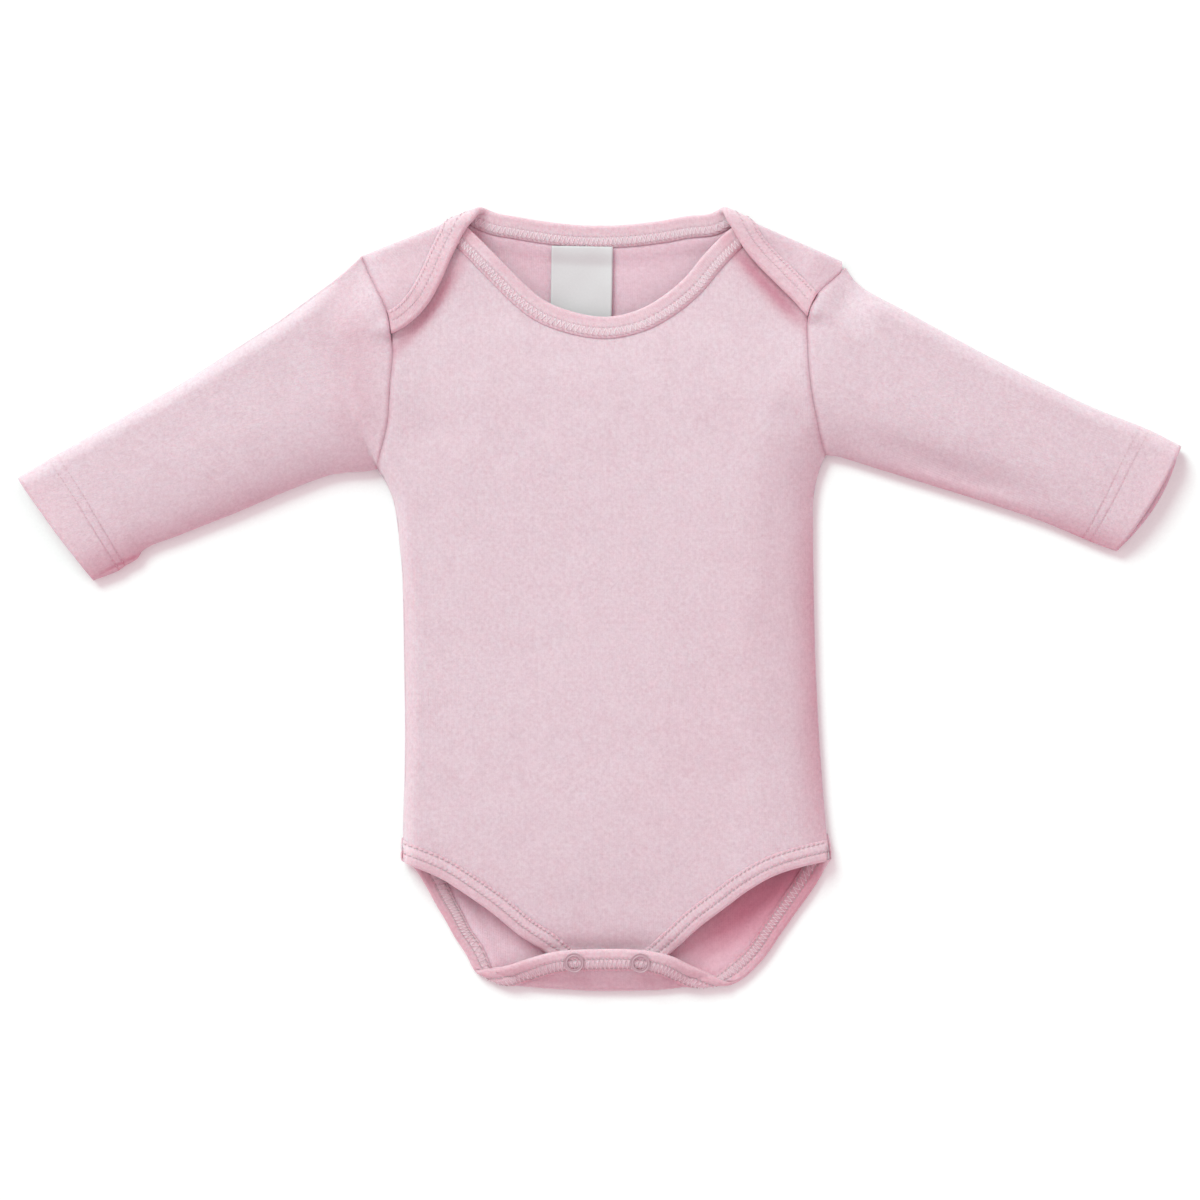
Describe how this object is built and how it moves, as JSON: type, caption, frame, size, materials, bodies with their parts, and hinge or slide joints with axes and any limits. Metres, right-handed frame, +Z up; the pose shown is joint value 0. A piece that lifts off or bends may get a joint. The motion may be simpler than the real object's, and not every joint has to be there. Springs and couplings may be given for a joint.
{
  "type": "baby bodysuit",
  "caption": "Long-sleeved baby bodysuit laid flat, with envelope shoulders that lap over the front, bound neck and leg edges, and a snap-fastened crotch flap.",
  "frame": {"origin": "centre of the laid-out garment's outline, on the surface that it lies on", "axes": "+X towards the sleeve on the right of a viewer who looks down at the front, +Y from the crotch to the neck, +Z up out of the front"},
  "size_m": [0.5818, 0.3922, 0.0183],
  "materials": {
    "jersey": "matte cotton interlock",
    "binding": "matte ribbed cotton",
    "label": "matte woven tape",
    "snap": "satin enamel"
  },
  "bodies": {
    "root": {"front_panel": "jersey", "back_panel": "jersey", "sleeve_left": "jersey", "sleeve_right": "jersey", "neck_binding_front": "binding", "neck_binding_back": "binding", "leg_binding_front": "binding", "leg_binding_back": "binding", "label": "label", "snap_ring_left": "snap", "snap_ring_right": "snap", "snap_socket_left": "snap", "snap_socket_right": "snap", "snap_stud_left": "snap", "snap_stud_right": "snap", "snap_back_ring_left": "snap", "snap_back_ring_right": "snap"}
  },
  "joints": []
}
